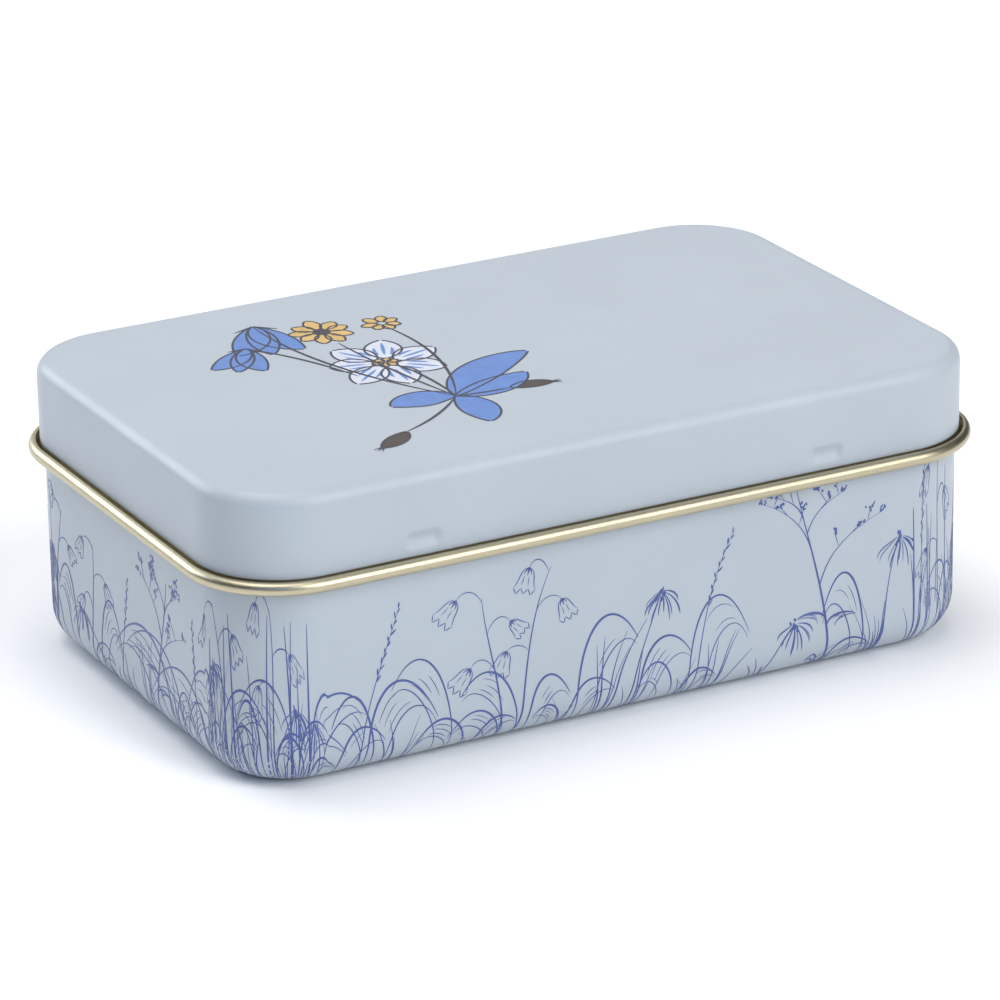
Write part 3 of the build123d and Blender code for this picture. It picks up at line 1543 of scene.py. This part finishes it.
    def sown(self, first: float, last: float, spacing: float) -> list[Planting]:
        """Plants sown by chance along a stretch of the drawing.

        Args:
            first: Where the stretch begins.
            last: Where it ends.
            spacing: Average distance between plants.

        Returns:
            The plants.
        """
        tall = [Plant.BELLS, Plant.SEEDS, Plant.UMBEL, Plant.SEEDS, Plant.BELLS]
        low = [Plant.SHEAF, Plant.ARCH, Plant.TUFT, Plant.BLOOM, Plant.SHEAF, Plant.ARCH]
        plants = []
        at = first
        turn = 0
        while at < last:
            if turn % 3 == 0:
                kind = tall[(turn // 3) % len(tall)]
                height = self.dice.uniform(19.0, 26.0) * MM
                lean = self.dice.uniform(-4.0, 4.0) * MM
            else:
                kind = self.dice.choice(low)
                height = self.dice.uniform(9.0, 17.0) * MM
                lean = self.dice.uniform(4.0, 9.0) * MM * self.dice.choice((-1, 1))
                if kind in (Plant.SHEAF, Plant.TUFT):
                    lean *= 0.2
            plants.append(Planting(kind, at, height, lean))
            at += self.near(spacing, 0.35)
            turn += 1
        return plants

    def streaks(self) -> None:
        """Draws the tall crowded blades at the four upright corners."""
        reach = self.wrap.shape.centre
        corner = self.wrap.corner * self.wrap.squeeze
        start = reach.x
        for side in (2 * reach.y, 2 * reach.x, 2 * reach.y, 2 * reach.x):
            for i in range(22):
                at = start + corner * self.dice.random()
                tall = i % 4 == 0
                height = (self.dice.uniform(17.5, 21.5) if tall else self.dice.uniform(4.0, 13.0)) * MM
                foot = Vector((at, self.dice.uniform(0.0, 0.3 if tall else 7.0) * MM))
                width = self.near(self.bold * 1.3 if tall else self.fine * 1.4, 0.4)
                self.blade(foot, self.dice.uniform(-1.0, 1.0) * MM, height, width)
            start += corner + side

    def draw(self) -> InkLayer:
        """Draws the whole meadow.

        Returns:
            The layer of strokes.
        """
        reach = self.wrap.shape.centre
        corner = self.wrap.corner * self.wrap.squeeze
        for one in self.front():
            self.plant(one)
        begin = reach.x + 0.25 * corner
        end = self.wrap.drawn_length - reach.x - 0.35 * corner
        for one in self.sown(begin, end, 3.8 * MM):
            self.plant(one)
        self.streaks()
        return self.ink


# ---------------------------------------------------------------- the lid's sprig


def spot(x: float, y: float) -> Vector:
    """A place on the lid's panel, from millimetres."""
    return Vector((x, y)) * MM


@dataclass
class Sprig:
    """A sprig of wild flowers printed on the lid in blue, white, ochre and brown."""

    shape: TinShape
    seed: int = 5
    outline: float = 0.30 * MM
    stripe: float = 0.50 * MM
    stalk: float = 0.45 * MM
    sepal: float = 0.50 * MM
    crown: float = 0.35 * MM

    def __post_init__(self) -> None:
        """Makes the layers, from the lowest ink to the highest."""
        self.dice = random.Random(self.seed)
        thin = 0.006 * MM
        spread = 0.004 * MM
        self.white = InkLayer("sprig_white", self.place, 0.002 * MM, thin, spread)
        self.blue = InkLayer("sprig_blue", self.place, 0.014 * MM, thin, spread)
        self.ochre = InkLayer("sprig_ochre", self.place, 0.014 * MM, thin, spread)
        self.brown = InkLayer("sprig_brown", self.place, 0.014 * MM, thin, spread)
        self.line = InkLayer("sprig_outline", self.place, 0.026 * MM, thin, 0.006 * MM)

    def place(self, x: float, y: float, lift: float) -> Vector:
        """Places a point of the drawing on the lid's panel.

        Args:
            x: Along the tin.
            y: Across the tin.
            lift: Height above the enamel.

        Returns:
            The point.
        """
        return Vector((x, y, self.shape.height + lift))

    def petal(self, ink: InkLayer, base: Vector, tip: Vector, width: float, bow: float = 0.0) -> None:
        """Draws one filled petal or leaf with its outline.

        Args:
            ink: The layer that fills it.
            base: Where it joins the stem.
            tip: Its point.
            width: Its greatest width.
            bow: How far its middle bows to the left, as a share of its length.
        """
        along = tip - base
        side = Vector((-along.y, along.x)) * bow
        spine = curve(base, base + along * 0.33 + side, base + along * 0.67 + side, tip, step=0.5 * MM)
        last = len(spine) - 1
        edges: list[list[Vector]] = [[], []]
        for i, point in enumerate(spine):
            near = (spine[min(i + 1, last)] - spine[max(i - 1, 0)]).normalized()
            half = width / 2 * max(math.sin(math.pi * i / last), 0.02) ** 0.65
            for hand, edge in zip((1, -1), edges):
                edge.append(point + Vector((-near.y, near.x)) * half * hand)
        ink.strokes.append(Fill(tuple(edges[0]), tuple(edges[1])))
        for edge in edges:
            self.line.draw(tuple(edge), self.outline, Taper.NONE)

    def stem(self, start: Vector, end: Vector, bow: float) -> None:
        """Draws one stem.

        Args:
            start: Its lower end.
            end: Its upper end.
            bow: How far its middle bows to the left, as a share of its length.
        """
        along = end - start
        side = Vector((-along.y, along.x)) * bow
        bowed = curve(start, start + along * 0.35 + side, start + along * 0.7 + side, end)
        self.line.draw(bowed, self.stalk)

    def stripes(self, base: Vector, tip: Vector, width: float) -> None:
        """Draws blue stripes along a petal.

        Args:
            base: Where the petal joins the stem.
            tip: Its point.
            width: Its greatest width.
        """
        along = tip - base
        side = Vector((-along.y, along.x)).normalized() * width
        for offset in (-0.26, 0.0, 0.26):
            start = base + along * 0.2 + side * offset * 0.6
            end = base + along * (0.85 - abs(offset)) + side * offset * 0.9
            middle = (start + end) / 2 + side * offset * 0.35
            self.blue.draw(curve(start, start.lerp(middle, 0.6), end.lerp(middle, 0.6), end), self.stripe)

    def head(
        self,
        ink: InkLayer,
        middle: Vector,
        petals: int,
        inner: float,
        outer: float,
        width: float,
        first: float,
    ) -> None:
        """Draws a round flower head.

        Args:
            ink: The petals' ink.
            middle: Its middle.
            petals: Number of petals.
            inner: Distance from the middle to a petal's base.
            outer: Distance from the middle to a petal's tip.
            width: Width of a petal.
            first: Direction of the first petal, in degrees.
        """
        for i in range(petals):
            aim = first + 360 * i / petals
            base = middle + turned(inner, aim)
            tip = middle + turned(outer * self.dice.uniform(0.9, 1.08), aim + self.dice.uniform(-5, 5))
            self.petal(ink, base, tip, width)
            if ink is self.white:
                self.stripes(base, tip, width)

    def bellflower(self, top: Vector, aim: float, size: float) -> None:
        """Draws one blue bell with three lobes.

        Args:
            top: Where it hangs from.
            aim: The direction of its mouth, in degrees.
            size: Its length.
        """
        for turn, width in ((-23, 0.42), (23, 0.42), (0, 0.34)):
            self.petal(self.blue, top, top + turned(size, aim + turn), size * width, -turn / 240)
        for turn in (-60, 60):
            tip = top + turned(size * 0.3, aim + turn)
            self.line.draw(straight(top, tip), self.sepal, Taper.TIP)

    def pod(self, middle: Vector, aim: float, size: float) -> None:
        """Draws one brown seed pod with its little crown.

        Args:
            middle: Where it joins its stem.
            aim: The direction that it points in, in degrees.
            size: Its length.
        """
        self.petal(self.brown, middle, middle + turned(size, aim), size * 0.42, 0.06)
        for turn in (-22, 0, 22):
            start = middle + turned(size * 0.92, aim)
            tip = start + turned(size * 0.26, aim + turn)
            self.line.draw(straight(start, tip), self.crown, Taper.TIP)

    def draw(self) -> None:
        """Draws the whole sprig."""
        tie = spot(-13.0, -13.0)
        self.stem(tie, spot(-24.0, 24.5), 0.10)
        self.stem(spot(-20.5, 0.0), spot(-28.5, 17.0), -0.06)
        self.stem(tie, spot(-17.0, 13.0), 0.03)
        self.stem(tie, spot(-14.0, 1.0), -0.05)
        self.stem(tie, spot(-9.0, 17.0), -0.12)
        self.stem(tie, spot(-24.5, -21.5), 0.08)
        self.stem(tie, spot(-5.5, -13.8), -0.05)
        self.petal(self.blue, tie, spot(3.0, -2.5), 6.2 * MM, 0.12)
        self.petal(self.blue, tie, spot(-1.0, -9.5), 5.2 * MM, -0.10)
        self.petal(self.blue, tie, spot(-22.0, -12.5), 5.4 * MM, -0.14)
        self.petal(self.blue, tie, spot(-13.5, -23.5), 5.0 * MM, 0.10)
        self.head(self.white, spot(-15.0, 3.0), 7, 1.5 * MM, 8.3 * MM, 5.0 * MM, 12.0)
        self.head(self.ochre, spot(-15.0, 3.0), 6, 0.2 * MM, 1.9 * MM, 1.3 * MM, 0.0)
        self.bellflower(spot(-24.0, 24.5), 258.0, 11.5 * MM)
        self.bellflower(spot(-28.5, 17.0), 238.0, 9.0 * MM)
        self.head(self.ochre, spot(-17.0, 18.0), 9, 1.0 * MM, 4.6 * MM, 2.2 * MM, 5.0)
        self.head(self.brown, spot(-17.0, 18.0), 5, 0.1 * MM, 1.3 * MM, 0.9 * MM, 0.0)
        self.head(self.ochre, spot(-8.5, 17.0), 7, 0.6 * MM, 2.9 * MM, 1.6 * MM, 20.0)
        self.pod(spot(-24.5, -21.5), 215.0, 6.5 * MM)
        self.pod(spot(-5.5, -13.8), -8.0, 6.0 * MM)

    def build(self) -> list[tuple[bpy.types.Object, str]]:
        """Builds the layers.

        Returns:
            Each piece and its material slot.
        """
        self.draw()
        blue = PrintedInk("sprig_mid_blue", (0.118, 0.235, 0.565), 0.06).material()
        white = PrintedInk("sprig_off_white", (0.66, 0.69, 0.78), 0.04).material()
        ochre = PrintedInk("sprig_ochre", (0.66, 0.44, 0.15), 0.08).material()
        brown = PrintedInk("sprig_brown", (0.055, 0.040, 0.032), 0.15).material()
        line = PrintedInk("sprig_line", (0.035, 0.035, 0.06), 0.1).material()
        return [
            (self.white.build(white), "sprig_white"),
            (self.blue.build(blue), "sprig_blue"),
            (self.ochre.build(ochre), "sprig_ochre"),
            (self.brown.build(brown), "sprig_brown"),
            (self.line.build(line), "sprig_brown"),
        ]


# ---------------------------------------------------------------- light and camera


@dataclass(frozen=True)
class Softbox:
    """One soft rectangular light that faces the tin.

    Args:
        name: The light's name.
        place: Where it hangs.
        size: Its width and height.
        power: Its power in watts.
        colour: Its colour.
    """

    name: str
    place: tuple
    size: tuple
    power: float
    colour: tuple = (1.0, 1.0, 1.0)

    def hang(self) -> None:
        """Makes the light."""
        data = bpy.data.lights.new(self.name, "AREA")
        data.shape = "RECTANGLE"
        data.size, data.size_y = self.size
        data.energy = self.power
        data.color = self.colour
        lamp = bpy.data.objects.new(self.name, data)
        lamp.location = self.place
        aim = Vector((0.0, 0.0, 0.02)) - Vector(self.place)
        lamp.rotation_euler = aim.to_track_quat("-Z", "Y").to_euler()
        bpy.context.scene.collection.objects.link(lamp)


SOFTBOXES = (
    Softbox("overhead", (-0.2, 0.15, 1.6), (1.6, 1.2), 18.9, (1.0, 0.975, 0.965)),
    Softbox("right_front", (0.50, -1.03, 0.8), (0.8, 1.15), 9.6),
    Softbox("front", (0.18, -1.13, 0.8), (0.45, 1.15), 4.2, (0.92, 0.97, 1.0)),
    Softbox("left_rear", (-0.5, 1.07, 0.55), (0.9, 0.6), 7.0, (0.97, 0.97, 0.97)),
    Softbox("left_fill", (-0.38, 0.38, 0.31), (0.35, 0.3), 0.36, (0.50, 0.74, 1.0)),
    Softbox("rear", (0.5, 1.07, 0.55), (1.0, 0.6), 1.3),
    Softbox("blue_fill", (-0.7, -1.0, 0.7), (0.9, 0.6), 1.5, (0.2, 0.45, 1.0)),
)


@dataclass
class Studio:
    """A pale floor, soft lights and the camera."""

    target: tuple = (2.61 * MM, 5.11 * MM, 16.5 * MM)
    azimuth: float = -27.7
    elevation: float = 21.2
    distance: float = 714.2 * MM
    roll: float = -1.03
    lens: float = 191.7
    surroundings: tuple = (0.75, 0.88, 1.0)
    surroundings_strength: float = 0.06
    floor_tone: float = 0.97
    floor_half: float = 4.0

    def camera(self) -> None:
        """Makes the camera and gives it to the scene."""
        data = bpy.data.cameras.new("camera")
        data.lens = self.lens
        data.sensor_width = 36.0
        data.clip_start = 0.01
        data.clip_end = 20.0
        eye = bpy.data.objects.new("camera", data)
        turn = math.radians(self.azimuth)
        rise = math.radians(self.elevation)
        back = Vector((math.sin(turn) * math.cos(rise), -math.cos(turn) * math.cos(rise), math.sin(rise)))
        eye.location = Vector(self.target) + back * self.distance
        eye.rotation_mode = "QUATERNION"
        level = (-back).to_track_quat("-Z", "Y")
        eye.rotation_quaternion = level @ Quaternion((0.0, 0.0, 1.0), math.radians(self.roll))
        bpy.context.scene.collection.objects.link(eye)
        bpy.context.scene.camera = eye

    def floor(self) -> None:
        """Lays the pale floor."""
        bm = bmesh.new()
        bmesh.ops.create_grid(bm, x_segments=8, y_segments=8, size=self.floor_half)
        recipe = Recipe("pale_floor")
        recipe.set(Base_Color=(*[self.floor_tone] * 3, 1.0), Roughness=0.9, IOR=1.2)
        slab = mesh_object("floor", bm, [recipe.material])

    def light(self) -> None:
        """Dims the surroundings and hangs the soft lights."""
        world = bpy.data.worlds.new("studio")
        world.use_nodes = True
        background = world.node_tree.nodes["Background"]
        background.inputs["Color"].default_value = (*self.surroundings, 1.0)
        background.inputs["Strength"].default_value = self.surroundings_strength
        bpy.context.scene.world = world
        for softbox in SOFTBOXES:
            softbox.hang()

    def build(self) -> None:
        """Makes everything round the tin."""
        bpy.context.scene.view_settings.view_transform = "Standard"
        self.floor()
        self.light()
        self.camera()


# ---------------------------------------------------------------- putting it together


def tin_shape() -> TinShape:
    """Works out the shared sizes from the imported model."""
    hinge = frame["joints"][0]["pos_m"]
    _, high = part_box("lid_shell")
    return TinShape(high.x - CURL_STAND, high.y - CURL_STAND, high.z, Vector((hinge[1], hinge[2])))


def report(piece: bpy.types.Object) -> None:
    """Writes one line about a finished piece.

    Args:
        piece: The piece.
    """
    LOG.info("%s: %d faces", piece.name, len(piece.data.polygons))


def place_piece(piece: bpy.types.Object, body: str) -> None:
    """Puts a piece on its body and reports it.

    Args:
        piece: The piece.
        body: The body that it moves with.
    """
    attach(piece, body)
    report(piece)


def main() -> None:
    """Builds the tin's looks, piece by piece."""
    logging.basicConfig(level=logging.INFO, format="%(name)s %(message)s")
    shape = tin_shape()
    hinge = Hinge()
    enamel = Enamel().material()
    lacquer = GoldLacquer().material()
    body = DrawnBody(shape, hinge)
    body_piece = body.build(enamel, lacquer)
    place_piece(body_piece, "tin_body")
    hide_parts("body_shell")
    lid_piece = DrawnLid(shape, hinge).build(enamel, lacquer)
    place_piece(lid_piece, "lid")
    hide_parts("lid_shell")
    wire = frame["nodes"]["hinge_wire"]
    wire.material_slots[0].material = DrawnSteel().material()
    report(wire)
    meadow = Meadow(WallWrap(shape, body)).draw()
    blue_line = PrintedInk("meadow_blue", (0.065, 0.10, 0.30)).material()
    place_piece(meadow.build(blue_line), "tin_body")
    for piece, slot in Sprig(shape).build():
        place_piece(piece, "lid")
    Studio().build()


if __name__ == "__main__":
    main()
